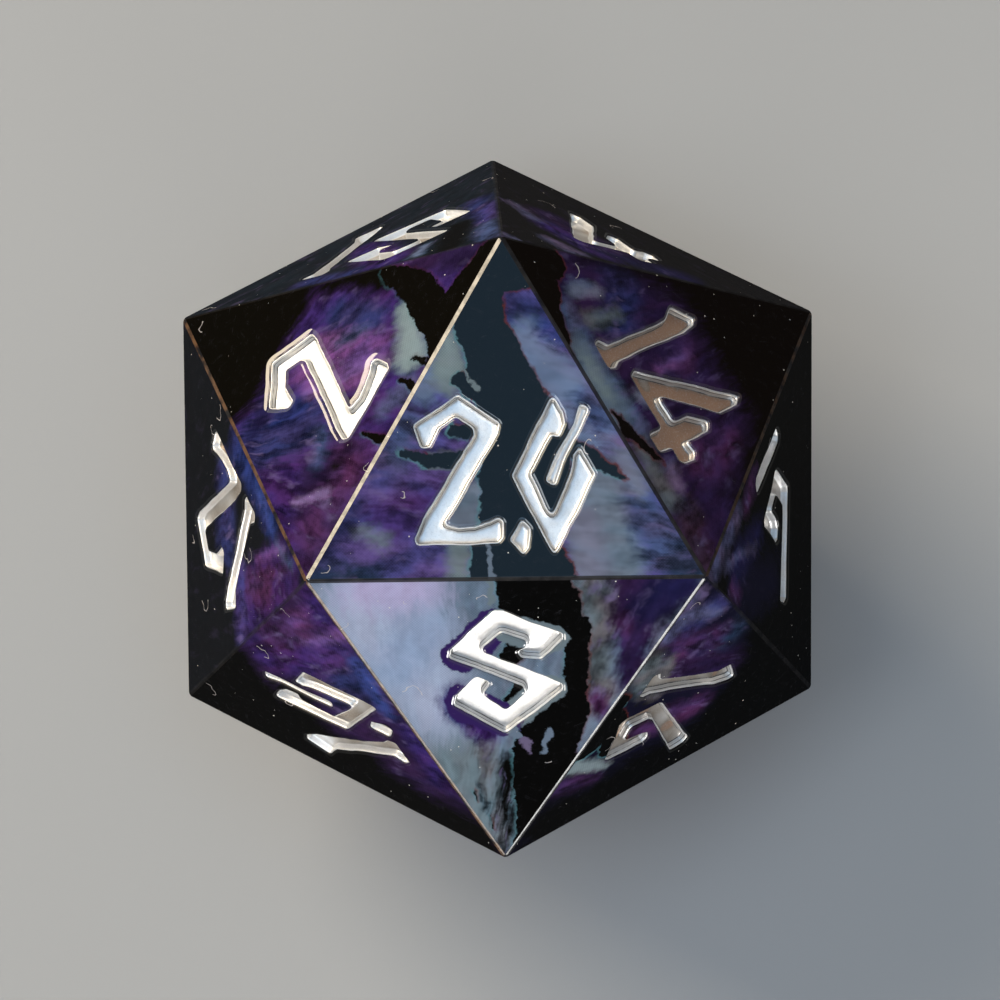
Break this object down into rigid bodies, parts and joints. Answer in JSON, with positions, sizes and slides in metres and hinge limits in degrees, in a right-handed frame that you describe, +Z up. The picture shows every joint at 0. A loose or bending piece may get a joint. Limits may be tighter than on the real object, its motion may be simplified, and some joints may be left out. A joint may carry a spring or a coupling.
{
  "type": "twenty-sided polyhedral die",
  "caption": "Sharp-edged resin icosahedral die with dark nebula colouring and engraved, silver-painted numbers, for tabletop games.",
  "frame": {"origin": "centre of the face that the die rests on, the face numbered 1", "axes": "+Z up, out of the top face numbered 20; +Y towards the corner above the digits of the 20; +X to the right of someone who reads the 20"},
  "size_m": [0.0236, 0.027, 0.022],
  "materials": {
    "resin": "polished cast resin, dark purple and indigo clouds with black and pale grey patches",
    "silver_paint": "metallic silver acrylic paint, satin, slightly uneven"
  },
  "bodies": {
    "root": {"body": "resin", "numeral_01": "silver_paint", "numeral_02": "silver_paint", "numeral_03": "silver_paint", "numeral_04": "silver_paint", "numeral_05": "silver_paint", "numeral_06": "silver_paint", "numeral_07": "silver_paint", "numeral_08": "silver_paint", "numeral_09": "silver_paint", "numeral_10": "silver_paint", "numeral_11": "silver_paint", "numeral_12": "silver_paint", "numeral_13": "silver_paint", "numeral_14": "silver_paint", "numeral_15": "silver_paint", "numeral_16": "silver_paint", "numeral_17": "silver_paint", "numeral_18": "silver_paint", "numeral_19": "silver_paint", "numeral_20": "silver_paint"}
  },
  "joints": []
}
